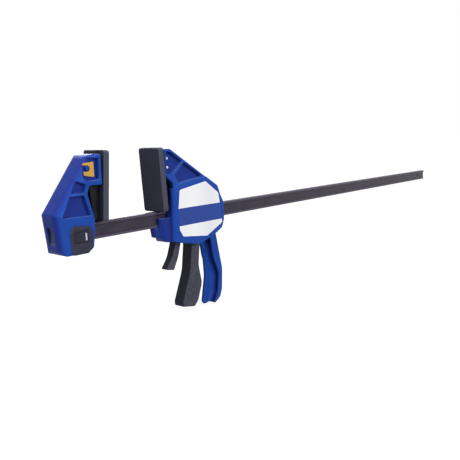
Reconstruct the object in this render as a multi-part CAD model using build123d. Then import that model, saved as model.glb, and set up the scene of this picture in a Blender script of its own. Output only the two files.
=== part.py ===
"""Quick release bar clamp: a fixed jaw and a sliding pistol-grip jaw on a steel bar.

Own frame: the origin is the centre of the fixed pad's clamping face, +X runs along the bar to its
far end and +Z is up. Side outlines are drawn as (x, height), with the height measured from the
bar's centre line.
"""
import os
from math import cos, radians, sin

from build123d import *

# ---------------------------------------------------------------- driving dimensions (mm, degrees)
BAR_HEIGHT = 23.2
BAR_THICKNESS = 10.0
BAR_WEB = 7.0            # thickness left between the two rolled grooves
BAR_FLANGE = 4.5         # height of each flange beside the groove
BAR_TAIL = 78.0          # bar behind the origin, inside the fixed jaw
BAR_REACH = 1127.0       # bar in front of the origin
END_HOLE_RADIUS = 3.0
END_HOLE_INSET = 37.0
SLIDE_GAP = 0.3          # room between the bar and whatever slides on it

PAD_HEIGHT = 93.6
PAD_WIDTH = 42.4
PAD_THICKNESS = 9.6
PAD_CORNER = 4.0
PAD_TOE = 4.1            # both pads lean in at the top when they rest on their stops
PAD_LIFT = 0.4           # between the pad's lower edge and the bar
PAD_OPENING = 94.6       # between the centres of the pad faces at rest
JAW_FACE = 94.6          # the moving pad's face, in the drawings of the moving jaw
PAD_SWING = 6.0          # how far a pad swivels off its stop
PIVOT_BACK = 32.4        # pivot pin behind the pad's face
PIVOT_UP = 22.4          # pivot pin above the pad's centre
PIVOT_RADIUS = 2.5
PIN_PLAY = 0.06
LUG_RADIUS = 5.6
CARRIER_HALF = 10.0      # half width of the pad carrier's spine
CARRIER_TOP = 6.4        # thickness of the carrier at its top
CARRIER_FIN = 4.5        # half width of the fin behind the spine
CARRIER_GAP = 0.5        # between the carrier and the cheeks beside it
STOP_GAP = 0.6           # between the carrier's fin and the neck it stops on
STOP_PIN_RADIUS = 1.8
STOP_PIN_AHEAD = 11.8    # stop pins in front of the pivot, towards the pad
STOP_PIN_SPREAD = 6.6    # stop pins above and below the pivot

BODY_HALF = 21.5         # half width of both moulded bodies
HEAD_HALF = 20.7         # half width of the fixed jaw and of the moving jaw's head
SPINE_RADIUS = 13.0      # rounding down the back of the fixed jaw
FRONT_RADIUS = 8.5       # rounding down the front of the moving jaw
EDGE_RADIUS = 1.8        # rounding along the moulded edges
POCKET_DEPTH = 6.0       # moulded pockets beside the ribs
CLIP_THICKNESS = 2.2
CLIP_HOLE = 4.1
BOSS_RADIUS = 2.9
BOSS_HEIGHT = 3.0

HOUSING_PROUD = 0.8      # quick change housing, out of the side of the fixed jaw
HOUSING_SKIN = 4.5       # the part of it that wraps under the jaw
BUTTON_WIDTH = 18.6
BUTTON_HEIGHT = 14.0
BUTTON_TRAVEL = 4.0
BUTTON_H = -2.8
LATCH_X = -49.2
LATCH_RADIUS = 2.5
LATCH_THICKNESS = 2.5
GUIDE_GAP = 0.3          # room round a moving part in its guide

TRIGGER_PIVOT_X = 163.3
TRIGGER_PIVOT_H = 24.0
TRIGGER_PIN_RADIUS = 3.0
TRIGGER_HALF = 10.0
TRIGGER_WALL = 3.2
BAY_GAP = 0.6            # between the trigger and the walls of the mechanism bay
RELEASE_HALF = 6.5
BRAKE_LEAN = 8.0         # the brake plate leans by this much when it grips the bar
BRAKE_PIVOT_X = 147.5
BRAKE_PIVOT_H = 24.0
BRAKE_THICKNESS = 4.0
BRAKE_HALF = 9.0
BRAKE_BITE = 0.3         # room left between the leaning brake plate and the bar
DRIVE_THICKNESS = 3.0
DRIVE_PLATES = 2
DRIVE_NOSE_RADIUS = 5.3
DRIVE_NOSE_X = 165.3
DRIVE_HALF = 9.5
DRIVE_HEIGHT = 34.0
DRIVE_TRAVEL = 5.6
SPRING_RADIUS = 13.6     # drive spring, to the wire's centre
SPRING_WIRE = 1.6
SPRING_LENGTH = 20.5
SPRING_TURNS = 4
BRAKE_SPRING_X = 153.8
BRAKE_SPRING_H = -17.5
COLLAR_HALF = 12.5
NOSE_HALF = 5.5
HANDLE_WEB_HALF = 2.2
HANDLE_FLANGE_HALF = 13.5
HANDLE_HOLLOW = 6.5      # radius of the hollow between web and flange

SCREW_RADIUS = 1.8
SCREW_HEAD_RADIUS = 3.6
SCREW_HEAD_HEIGHT = 2.4
SCREW_SINK = 6.0
LABEL_THICKNESS = 0.6
FAR = 300.0              # longer than any cut needs to be

# ---------------------------------------------------------------- values worked out from them
TOE = radians(PAD_TOE)
BAR_Z = -(PAD_HEIGHT / 2 * cos(TOE) + PAD_LIFT + BAR_HEIGHT / 2)
PIVOT_X = -PIVOT_BACK * cos(TOE) + PIVOT_UP * sin(TOE)
PIVOT_Z = PIVOT_BACK * sin(TOE) + PIVOT_UP * cos(TOE)
PIVOT_H = PIVOT_Z - BAR_Z
MOVING_PIVOT_X = JAW_FACE - PIVOT_X
PASSAGE_HALF = BAR_THICKNESS / 2 + SLIDE_GAP
PASSAGE_TOP = BAR_HEIGHT / 2 + SLIDE_GAP
HEAD_TOP = PIVOT_H + 18.0
HEAD_UNDER = PIVOT_H - 22.0
HEAD_FRONT = PIVOT_X + 20.2
NECK_TOP = (PIVOT_X - 4.0, PIVOT_H - 32.0)
NECK_FOOT = (PIVOT_X + 5.2, 18.2)
JAW_FOOT = -24.3
SLOT_HALF = CARRIER_HALF + CARRIER_GAP
SLOT_BACK = PIVOT_X - LUG_RADIUS - 0.8
CHEEK_FLOOR = HEAD_HALF - POCKET_DEPTH
PIN_SOCKET = SLOT_HALF + 2.0
BAY_HALF = TRIGGER_HALF + BAY_GAP
ARM_INNER = PASSAGE_HALF + 0.3
DRIVE_START_X = DRIVE_NOSE_X + DRIVE_NOSE_RADIUS + GUIDE_GAP
DRIVE_END_X = DRIVE_START_X + DRIVE_PLATES * DRIVE_THICKNESS
SPRING_END_X = DRIVE_END_X + GUIDE_GAP + SPRING_LENGTH
SPRING_POCKET = SPRING_RADIUS + SPRING_WIRE / 2 + 1.4
MOVING_HEAD_FRONT = JAW_FACE - HEAD_FRONT - 0.8
MOVING_FRONT = MOVING_PIVOT_X - 7.3
BRAKE_SIN = sin(radians(BRAKE_LEAN))
BRAKE_COS = cos(radians(BRAKE_LEAN))
BRAKE_WINDOW = (BAR_HEIGHT + BRAKE_BITE + BRAKE_THICKNESS * BRAKE_SIN) / BRAKE_COS
LATCH_NEAR = -PASSAGE_HALF - BUTTON_TRAVEL - GUIDE_GAP
LATCH_BACK = LATCH_NEAR - LATCH_THICKNESS
LATCH_FAR = PASSAGE_HALF + 5.1
LATCH_FLOOR = -BAR_HEIGHT / 2 - 2.4 - LATCH_THICKNESS
HOUSING_FACE = HEAD_HALF + HOUSING_PROUD
HOUSING_BACK = -LATCH_BACK + 0.7
SIDE = Plane(origin=(0, 0, BAR_Z), x_dir=(1, 0, 0), z_dir=(0, -1, 0))
PAD_SIDE = Plane(origin=(0, 0, 0), x_dir=(cos(TOE), 0, -sin(TOE)), z_dir=(0, -1, 0))
SCREWS = (
    # x, height, outer face, sink and reach past the middle plane
    (141.0, 31.0, BODY_HALF, SCREW_SINK, 12.0),
    (206.0, 31.0, BODY_HALF, SCREW_SINK, 12.0),
    (212.0, -21.0, BODY_HALF, SCREW_SINK, 12.0),
    (122.0, -24.0, BODY_HALF, SCREW_SINK, 12.0),
    (216.0, -58.0, HANDLE_FLANGE_HALF, SCREW_SINK, 9.0),
    (227.5, -126.0, HANDLE_FLANGE_HALF, SCREW_SINK, 9.0),
)


# ---------------------------------------------------------------- drawing helpers
def outline(*corners):
    """A closed face from (x, height, corner radius) triples."""
    points = [(x, h) for x, h, _ in corners]
    radii = [radius for _, _, radius in corners]
    return make_face(FilletPolyline(points, radius=radii, close=True))


def layer(face, y_low, y_high):
    """A side face given thickness from y_low to y_high."""
    return extrude(Pos(0, y_high, 0) * (SIDE * face), amount=y_high - y_low)


def slab(face, half):
    """A side face given the same thickness to each side of the middle plane."""
    return layer(face, -half, half)


def disc(x, h, radius, y_low, y_high):
    """A round piece across the clamp."""
    return layer(Pos(x, h) * Circle(radius), y_low, y_high)


def soften(solid, radius):
    """Round the outline edges of a slab on both of its side faces."""
    sides = solid.faces().filter_by(Axis.Y).group_by(Axis.Y)
    edges = ShapeList([edge for face in (*sides[0], *sides[-1]) for edge in face.edges()])
    return fillet(edges, radius)


def along_bar(x_low, x_high, half, height):
    """A block round the bar's centre line."""
    return Pos((x_low + x_high) / 2, 0, BAR_Z) * Box(x_high - x_low, 2 * half, 2 * height)


def rounded_back(low, high, half, radius):
    """A long block behind a leaning back line, given by two (x, height) points, with round corners."""
    lean = Vector(high[0] - low[0], 0, high[1] - low[1]).normalized()
    forward = Vector(lean.Z, 0, -lean.X)
    across = Plane(origin=(low[0], 0, low[1] + BAR_Z), x_dir=forward, z_dir=lean)
    section = Pos(FAR / 2, 0) * Rectangle(FAR, 2 * half)
    back_corners = section.vertices().sort_by(Axis.X)[:2]
    return extrude(across * fillet(back_corners, radius), amount=FAR, both=True)


def mirrored(solid):
    """The same piece for the moving jaw, facing the first."""
    return Pos(JAW_FACE, 0, 0) * mirror(solid, about=Plane.YZ)


def to_pad(x, h):
    """A side point in the pad's own leaning plane."""
    z = h + BAR_Z
    return (x * cos(TOE) - z * sin(TOE), x * sin(TOE) + z * cos(TOE))


def coil(radius, wire, length, turns):
    """A compression spring that stands on the XY plane."""
    rise = length - wire
    path = Helix(pitch=rise / turns, height=rise, radius=radius)
    start = Plane(origin=path @ 0, z_dir=path % 0)
    return Pos(0, 0, wire / 2) * sweep(start * Circle(wire / 2), path=path)


# ---------------------------------------------------------------- bar
def make_bar():
    bar = along_bar(-BAR_TAIL, BAR_REACH, BAR_THICKNESS / 2, BAR_HEIGHT / 2)
    bar = chamfer(bar.edges().filter_by(Axis.X), 0.8)
    groove_depth = (BAR_THICKNESS - BAR_WEB) / 2
    groove = Rectangle(2 * groove_depth, BAR_HEIGHT - 2 * BAR_FLANGE)
    groove = chamfer(groove.vertices(), groove_depth * 0.6)
    tail = Plane(origin=(-BAR_TAIL, 0, BAR_Z), x_dir=(0, 1, 0), z_dir=(1, 0, 0))
    for side in (-1, 1):
        cut = tail * Pos(side * BAR_THICKNESS / 2, 0) * groove
        bar -= extrude(cut, amount=BAR_TAIL + BAR_REACH)
    bar -= disc(BAR_REACH - END_HOLE_INSET, 0, END_HOLE_RADIUS, -BAR_THICKNESS, BAR_THICKNESS)
    return bar - disc(LATCH_X, 0, LATCH_RADIUS + GUIDE_GAP, -BAR_THICKNESS, BAR_THICKNESS)


# ---------------------------------------------------------------- pads
def pad_slab(face, half):
    return extrude(PAD_SIDE * face, amount=half, both=True)


def make_pad_face():
    plate = pad_slab(Pos(-PAD_THICKNESS / 2, 0) * Rectangle(PAD_THICKNESS, PAD_HEIGHT), PAD_WIDTH / 2)
    through = Axis(origin=(0, 0, 0), direction=(cos(TOE), 0, -sin(TOE)))
    plate = fillet(plate.edges().filter_by(through), PAD_CORNER)
    return fillet(plate.faces().sort_by(through)[-1].edges(), 1.2)


def make_pad_carrier():
    """Spine behind the pad, with its pivot lug, and the thin fin that stops on the jaw's neck."""
    foot = -PAD_HEIGHT / 2 + 2.0
    top = PAD_HEIGHT / 2 - 1.0
    back = -PAD_THICKNESS
    lug = -PIVOT_BACK - LUG_RADIUS
    lug_round = LUG_RADIUS - 0.5
    spine = outline(
        (back, foot, 0), (back, top, 0), (back - CARRIER_TOP, top, 2),
        (back - CARRIER_TOP - 0.4, PIVOT_UP + 16.0, 5), (-PIVOT_BACK + 8.4, PIVOT_UP + 8.0, 5),
        (lug, PIVOT_UP + LUG_RADIUS, lug_round), (lug, PIVOT_UP - LUG_RADIUS, lug_round),
        (-24.0, -1.0, 8), (-22.5, -9.5, 4), (-16.0, foot, 2),
    )
    fin_top = to_pad(NECK_TOP[0] + STOP_GAP, NECK_TOP[1])
    fin_foot = to_pad(NECK_FOOT[0] + STOP_GAP, NECK_FOOT[1])
    fin = outline(
        (back, foot, 0), (back, PIVOT_UP, 0), (lug + 4.0, PIVOT_UP - 6.0, 0),
        (fin_top[0], fin_top[1] + 8.0, 4), (*fin_top, 1), (*fin_foot, 1), (fin_foot[0] + 1.5, foot, 1),
    )
    carrier = pad_slab(spine, CARRIER_HALF) + pad_slab(fin, CARRIER_FIN)
    pivot = Pos(-PIVOT_BACK, PIVOT_UP)
    carrier -= pad_slab(pivot * Circle(PIVOT_RADIUS + PIN_PLAY), CARRIER_HALF)
    for side in (-1, 1):
        slack = PAD_TOE - PAD_SWING / 2
        place = pivot * Rot(0, 0, slack) * Pos(STOP_PIN_AHEAD, side * STOP_PIN_SPREAD)
        carrier -= pad_slab(place * Circle(STOP_PIN_RADIUS + 1.1), CARRIER_HALF)
    return carrier


def make_clip(legs, top, foot):
    """Flat C-shaped retaining clip round the boss, its legs a little closer than its back is high."""
    plate = outline(
        (PIVOT_X - legs, PIVOT_H + top - 1.8, 1.5), (PIVOT_X + 10.4, PIVOT_H + top, 1.5),
        (PIVOT_X + 10.4, PIVOT_H - foot, 1.5), (PIVOT_X - legs, PIVOT_H - foot + 2.6, 1.5),
    )
    plate -= Pos(PIVOT_X, PIVOT_H) * Circle(CLIP_HOLE)
    plate -= Pos(PIVOT_X - CLIP_HOLE, PIVOT_H) * Rectangle(2 * CLIP_HOLE, 2 * CLIP_HOLE)
    return layer(plate, -CHEEK_FLOOR - CLIP_THICKNESS, -CHEEK_FLOOR)


def make_stop_pins(near_end):
    """Two dowels through the slot, which also keep the pad from swinging too far."""
    pins = [
        disc(PIVOT_X + STOP_PIN_AHEAD, PIVOT_H + side * STOP_PIN_SPREAD, STOP_PIN_RADIUS,
             near_end, CHEEK_FLOOR)
        for side in (-1, 1)
    ]
    return Compound(children=pins)


# ---------------------------------------------------------------- fixed jaw
def slot_roof():
    """Roof of the pad carrier's slot, from behind the pivot to where the slot opens at the top."""
    return [
        (SLOT_BACK, PIVOT_H + LUG_RADIUS + 1.4, LUG_RADIUS + 0.8), (PIVOT_X + 7.3, PIVOT_H + 9.0, 3),
        (PIVOT_X + 13.7, PIVOT_H + 15.4, 2), (PIVOT_X + 13.7, FAR, 0),
    ]


def cut_head(head):
    """Slot for the pad carrier, and the blind holes for the stop pins."""
    floor = NECK_TOP[1] + 1.0
    slot = outline((FAR, floor, 0), (SLOT_BACK, floor, 0), *slot_roof(), (FAR, FAR, 0))
    head -= slab(slot, SLOT_HALF)
    for side in (-1, 1):
        head -= disc(PIVOT_X + STOP_PIN_AHEAD, PIVOT_H + side * STOP_PIN_SPREAD, STOP_PIN_RADIUS,
                     -PIN_SOCKET, BODY_HALF)
    return head


def head_recess():
    """Recess in the cheek round the pivot, which holds the retaining clip."""
    return outline(
        (HEAD_FRONT - 4.6, HEAD_TOP - 5.0, 2), (PIVOT_X + 1.5, HEAD_TOP - 5.0, 3),
        (PIVOT_X - 5.6, PIVOT_H + 4.5, 3), (PIVOT_X - 10.0, PIVOT_H - 11.0, 2),
        (PIVOT_X - 2.5, PIVOT_H - 16.5, 3), (HEAD_FRONT - 4.6, PIVOT_H - 15.0, 2),
    )


def pivot_boss(x):
    """Boss on the cheek over the end of the pivot pin, which carries the clip."""
    return disc(x, PIVOT_H, BOSS_RADIUS, -CHEEK_FLOOR - BOSS_HEIGHT, -SLOT_HALF)


def both_sides(face, depth, half):
    """The same pocket moulded into both sides of a body."""
    return layer(face, -FAR, -half + depth) + layer(face, half - depth, FAR)


def housing_outline():
    return outline(
        (-66.0, 4.2, 4), (-61.0, 13.2, 4), (-35.0, 10.2, 5), (-30.2, 1.2, 4),
        (-31.7, -18.0, 5), (-38.5, JAW_FOOT - 0.4, 4), (-64.0, JAW_FOOT - 0.4, 5),
    )


def latch_cavity():
    """Room inside the fixed jaw for the latch yoke that straddles the bar."""
    floor = LATCH_FLOOR - 2.0
    return outline(
        (LATCH_X - 6.0, floor, 1), (LATCH_X + 6.0, floor, 1), (LATCH_X + 6.0, 6.0, 1), (LATCH_X - 6.0, 6.0, 1)
    )


def make_fixed_jaw():
    spine_top = (-28.0, HEAD_TOP)
    spine_knee = (-83.4, 28.2)
    spine_foot = (-77.0, JAW_FOOT)
    body = soften(slab(outline(
        (HEAD_FRONT, HEAD_TOP, 3), (*spine_top, 15), (*spine_knee, 6), (*spine_foot, 9), (-38.0, JAW_FOOT, 4),
        (-29.1, -18.8, 6), (-25.7, 5.2, 8), (*NECK_FOOT, 3), (*NECK_TOP, 5), (-31.0, HEAD_UNDER, 3),
        (HEAD_FRONT, HEAD_UNDER, 2.5),
    ), HEAD_HALF), EDGE_RADIUS)
    body &= rounded_back(spine_knee, spine_top, HEAD_HALF + 0.5, SPINE_RADIUS)
    body &= rounded_back(spine_foot, spine_knee, HEAD_HALF + 0.5, SPINE_RADIUS)
    upper_pocket = outline((-49.5, 68.2, 1.5), (-36.5, 63.2, 1.5), (-40.6, 52.6, 1.5), (-59.0, 52.6, 1.5))
    lower_pocket = outline((-61.0, 49.6, 1.5), (-40.4, 49.6, 1.5), (-31.6, 22.8, 2), (-75.5, 23.6, 2))
    for pocket in (upper_pocket, lower_pocket, head_recess()):
        body -= both_sides(pocket, POCKET_DEPTH, HEAD_HALF)
    body = cut_head(body)
    body += pivot_boss(PIVOT_X)
    body -= disc(PIVOT_X, PIVOT_H, PIVOT_RADIUS, -CHEEK_FLOOR + 1.5, BODY_HALF)
    body -= along_bar(-FAR, 0, PASSAGE_HALF, PASSAGE_TOP)
    body -= layer(latch_cavity(), -BODY_HALF, LATCH_FAR + BUTTON_TRAVEL + 3.0)
    button_room = Rectangle(BUTTON_WIDTH + 2 * GUIDE_GAP, BUTTON_HEIGHT + 2 * GUIDE_GAP)
    button_end = LATCH_BACK + BUTTON_TRAVEL + GUIDE_GAP
    body -= layer(Pos(LATCH_X, BUTTON_H) * button_room, -BODY_HALF, button_end)
    return body - housing_block()


def housing_block():
    """The quick change housing before its openings: a side plate and the skin that wraps under."""
    plate = layer(housing_outline(), -HOUSING_FACE, -HOUSING_BACK)
    skin = slab(housing_outline(), HOUSING_BACK + 1.0) & (
        Pos(0, 0, BAR_Z + JAW_FOOT + HOUSING_SKIN - FAR / 2) * Box(FAR, FAR, FAR)
    )
    return plate + skin


def make_housing():
    window = Pos(LATCH_X, BUTTON_H) * RectangleRounded(
        BUTTON_WIDTH + 2 * GUIDE_GAP, BUTTON_HEIGHT + 2 * GUIDE_GAP, 2.5
    )
    dish = Pos(LATCH_X, BUTTON_H) * RectangleRounded(BUTTON_WIDTH + 5.0, BUTTON_HEIGHT + 5.0, 4.0)
    housing = housing_block()
    rim = housing.faces().filter_by(Axis.Y).sort_by(Axis.Y)[0]
    housing = fillet(rim.edges(), 1.2)
    housing -= layer(dish, -FAR, -HOUSING_FACE + 1.0)
    return housing - layer(window, -FAR, -HOUSING_BACK + 1.0)


def make_button():
    """Push button, with the raised bar that a thumb finds."""
    cap = layer(Pos(LATCH_X, BUTTON_H) * RectangleRounded(BUTTON_WIDTH, BUTTON_HEIGHT, 2.2),
                -HOUSING_FACE + 0.8, LATCH_BACK)
    cap = fillet(cap.faces().sort_by(Axis.Y)[0].edges(), 0.8)
    ridge = Pos(LATCH_X + BUTTON_WIDTH / 2 - 1.6, BUTTON_H) * RectangleRounded(2.0, BUTTON_HEIGHT - 4.0, 0.9)
    ridge = layer(ridge, -HOUSING_FACE + 0.1, -HOUSING_FACE + 1.2)
    return cap + ridge


def make_latch():
    """Steel stirrup under the bar: the button pushes it, and its far pin leaves the bar's hole."""
    low, high = LATCH_X - 5.0, LATCH_X + 5.0
    foot_top = LATCH_FLOOR + LATCH_THICKNESS
    cheek = outline((low, LATCH_FLOOR, 0.6), (high, LATCH_FLOOR, 0.6), (high, 4.0, 2), (low, 4.0, 2))
    foot = outline(
        (low, LATCH_FLOOR, 0.6), (high, LATCH_FLOOR, 0.6), (high, foot_top, 0.6), (low, foot_top, 0.6)
    )
    stirrup = layer(cheek, LATCH_BACK, LATCH_NEAR) + layer(cheek, LATCH_FAR - LATCH_THICKNESS, LATCH_FAR)
    stirrup += layer(foot, LATCH_BACK, LATCH_FAR)
    return stirrup + disc(LATCH_X, 0, LATCH_RADIUS, 0.4, LATCH_FAR - LATCH_THICKNESS)


# ---------------------------------------------------------------- moving jaw
def handle_web():
    """Thin web of the pistol grip, which the trigger closes over."""
    return soften(slab(outline(
        (190.5, -22.0, 0), (196.6, -52.0, 40), (202.0, -80.0, 60), (204.1, -105.0, 30), (195.0, -155.0, 7),
        (216.0, -150.8, 1), (219.0, -146.0, 1), (226.0, -130.0, 3), (226.0, -98.0, 3), (211.0, -22.0, 0),
    ), HANDLE_WEB_HALF), 1.8)


def handle_flange():
    """Wide back of the pistol grip, in the palm, with a hollow down each side where the web begins."""
    wall = [(212.0, -75.5, 18), (224.6, -103.0, 20), (221.0, -134.5, 12)]
    front = [(x - HANDLE_HOLLOW - 0.1, h, radius) for x, h, radius in wall]
    flange = slab(outline(
        (187.5, 20.0, 0), *front, (206.0, -148.5, 0), (215.5, -152.5, 2.5), (228.0, -145.0, 8),
        (233.4, -132.0, 14), (235.1, -97.0, 25), (207.8, 20.0, 0),
    ), HANDLE_FLANGE_HALF)
    room = outline((0.0, 40.0, 0), (190.4, 40.0, 0), *wall, (200.0, -169.5, 0), (0.0, -169.5, 0))
    for side in (-1, 1):
        low, high = sorted((side * HANDLE_WEB_HALF, side * FAR))
        hollow = layer(room, low, high)
        inner = hollow.faces().filter_by(Axis.Y).sort_by(Axis.Y)[0 if side > 0 else -1]
        flange -= fillet(inner.edges(), HANDLE_HOLLOW)
    return soften(flange, 1.5)


def jaw_collar():
    """Block round the bar in front of the moving jaw, its lower corners cut to slanting facets."""
    collar = soften(slab(outline(
        (99.3, 2.0, 1.2), (99.8, -14.0, 4), (103.0, -28.5, 5), (110.0, -35.0, 6), (128.0, -36.5, 0.5),
        (128.0, 1.2, 0.5),
    ), COLLAR_HALF), 1.0)
    top = Vector(99.3, COLLAR_HALF, 6.0 + BAR_Z)
    foot = Vector(109.0, COLLAR_HALF, -24.0 + BAR_Z)
    inner = Vector(102.4, COLLAR_HALF - 7.0, -25.0 + BAR_Z)
    facet = Plane(origin=top, x_dir=foot - top, z_dir=(inner - top).cross(foot - top))
    collar = split(collar, bisect_by=facet, keep=Keep.TOP)
    return collar & mirror(collar, about=Plane.XZ)


def moving_blank():
    """Outer form of the moving jaw without its handle's web, before it is hollowed and split."""
    head = soften(slab(outline(
        (MOVING_HEAD_FRONT, HEAD_TOP + 2.7, 3), (116.0, HEAD_TOP + 2.2, 8), (191.0, 59.0, 4),
        (200.0, 39.0, 0.5), (150.0, 31.0, 0.5), (MOVING_FRONT + 6.0, 31.0, 0.5),
        (MOVING_FRONT + 1.0, HEAD_UNDER - 8.0, 4), (MOVING_HEAD_FRONT, HEAD_UNDER + 3.0, 3),
    ), HEAD_HALF), EDGE_RADIUS)
    box = soften(slab(outline(
        (MOVING_FRONT, 44.2, 2), (130.0, 51.4, 6), (191.0, 59.4, 6), (219.4, 42.4, 6), (226.2, 27.0, 8),
        (232.6, 16.2, 8), (234.0, 2.0, 8), (233.8, -14.0, 8), (228.6, -26.6, 4), (211.0, -35.6, 8),
        (173.0, -46.6, 8), (128.5, -37.6, 8), (MOVING_FRONT, -35.0, 4),
    ), BODY_HALF), EDGE_RADIUS)
    box &= rounded_back((MOVING_FRONT, 0.0), (MOVING_FRONT, 10.0), BODY_HALF, FRONT_RADIUS)
    nose = soften(slab(outline(
        (92.3, -PASSAGE_TOP, 1), (95.0, -26.6, 2.5), (101.0, -28.0, 1.5), (112.0, -30.0, 0.5),
        (112.0, -PASSAGE_TOP, 0.5),
    ), NOSE_HALF), 1.0)
    return box + jaw_collar() + nose + head + handle_flange()


def moving_pockets():
    """Pockets that leave the head's rim, its slanting rib and the ledge over the label."""
    front = outline(
        (MOVING_HEAD_FRONT + 1.8, HEAD_TOP - 1.5, 2), (MOVING_PIVOT_X - 10.0, HEAD_TOP - 1.9, 4),
        (139.6, 84.9, 2), (119.5, 66.6, 2), (MOVING_HEAD_FRONT + 1.8, HEAD_UNDER + 6.5, 2),
    )
    rear = outline((143.2, 82.9, 1.5), (184.0, 59.4, 2), (132.0, 52.8, 3), (122.3, 64.0, 2))
    return both_sides(front, POCKET_DEPTH, HEAD_HALF) + both_sides(rear, POCKET_DEPTH, HEAD_HALF)


def carrier_room():
    """Slot down the front of the moving jaw for the pad carrier and its fin."""
    roof = [(JAW_FACE - x, h, radius) for x, h, radius in slot_roof()]
    room = outline(
        (0.0, PASSAGE_TOP - 1.0, 0), (JAW_FACE - NECK_FOOT[0] + 1.0, PASSAGE_TOP - 1.0, 0),
        (JAW_FACE - NECK_FOOT[0], NECK_FOOT[1], 0), (JAW_FACE - NECK_TOP[0], NECK_TOP[1], 2),
        (JAW_FACE - SLOT_BACK, NECK_TOP[1] + 4.0, 2), *roof, (0.0, FAR, 0),
    )
    return slab(room, SLOT_HALF)


def mechanism_bay():
    """Hollow that holds trigger, drive plates, drive spring, brake plate and release lever."""
    plate_room = DRIVE_HEIGHT / 2 + GUIDE_GAP
    plate_end = DRIVE_END_X + DRIVE_TRAVEL + 1.0
    trigger_room = outline(
        (152.5, 36.0, 4), (174.5, 36.0, 4), (175.5, plate_room, 0), (plate_end, plate_room, 0),
        (plate_end, -plate_room, 0), (200.0, -25.0, 4), (206.0, -40.0, 4), (206.5, -FAR, 0),
        (156.2, -FAR, 0), (156.2, 0.0, 0), (152.5, 8.0, 0),
    )
    brake_room = outline(
        (136.0, 19.0, 0), (154.0, 19.0, 0), (154.0, -12.5, 0), (BRAKE_SPRING_X, -12.5, 0),
        (BRAKE_SPRING_X, -25.0, 0), (157.0, -25.0, 0), (157.0, -FAR, 0), (128.0, -FAR, 0),
        (130.5, -25.0, 0), (136.0, -16.0, 0),
    )
    groove = Pos(BRAKE_PIVOT_X, BRAKE_PIVOT_H) * Circle(BRAKE_THICKNESS / 2 + 0.1)
    throat = outline(
        (BRAKE_PIVOT_X - 2.1, BRAKE_PIVOT_H, 0), (BRAKE_PIVOT_X + 2.1, BRAKE_PIVOT_H, 0),
        (BRAKE_PIVOT_X + 2.8, 18.0, 0), (BRAKE_PIVOT_X - 3.6, 18.0, 0),
    )
    bay = slab(trigger_room, BAY_HALF) + slab(brake_room, BAY_HALF)
    bay += slab(groove, BRAKE_HALF + GUIDE_GAP) + slab(throat, BRAKE_HALF + GUIDE_GAP)
    return bay + Pos(SPRING_END_X - 14.0, 0, BAR_Z) * Rot(0, 90, 0) * Cylinder(SPRING_POCKET, 28.0)


def label_face():
    return outline(
        (131.4, 42.2, 3), (189.5, 51.2, 4), (219.6, 30.7, 4), (223.0, 13.2, 8), (227.8, -18.2, 3),
        (190.5, -35.2, 6), (136.0, -28.8, 4), (129.0, -18.0, 5), (127.3, 12.0, 14),
    )


def moving_body():
    body = moving_blank() - moving_pockets() - carrier_room() - mechanism_bay()
    body += handle_web()
    body += mirror(pivot_boss(MOVING_PIVOT_X), about=Plane.XZ)
    body -= along_bar(0, FAR, PASSAGE_HALF, PASSAGE_TOP)
    body -= disc(MOVING_PIVOT_X, PIVOT_H, PIVOT_RADIUS, -CHEEK_FLOOR + 1.5, CHEEK_FLOOR - 1.5)
    body -= disc(TRIGGER_PIVOT_X, TRIGGER_PIVOT_H, TRIGGER_PIN_RADIUS, -BAY_HALF - 5.0, BAY_HALF + 5.0)
    for side in (-1, 1):
        body -= disc(MOVING_PIVOT_X - STOP_PIN_AHEAD, PIVOT_H + side * STOP_PIN_SPREAD, STOP_PIN_RADIUS,
                     -BODY_HALF, BODY_HALF)
    body -= layer(label_face(), -FAR, -BODY_HALF + LABEL_THICKNESS)
    for x, h, face, sink, reach in SCREWS:
        body -= disc(x, h, SCREW_RADIUS, -reach, face)
        body -= disc(x, h, SCREW_HEAD_RADIUS + 0.2, face - sink, FAR / 2)
    return body


def half_of(body, side):
    return body & (Pos(0, side * FAR, 0) * Box(8 * FAR, 2 * FAR, 4 * FAR))


def make_screws():
    screws = []
    for x, h, face, sink, reach in SCREWS:
        seat = face - sink
        shank = disc(x, h, SCREW_RADIUS - 0.05, -reach, seat)
        head = disc(x, h, SCREW_HEAD_RADIUS, seat, seat + SCREW_HEAD_HEIGHT)
        head = fillet(head.edges().sort_by(Axis.Y)[-1], 0.8)
        screws.append(shank + head)
    return Compound(children=screws)


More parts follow.
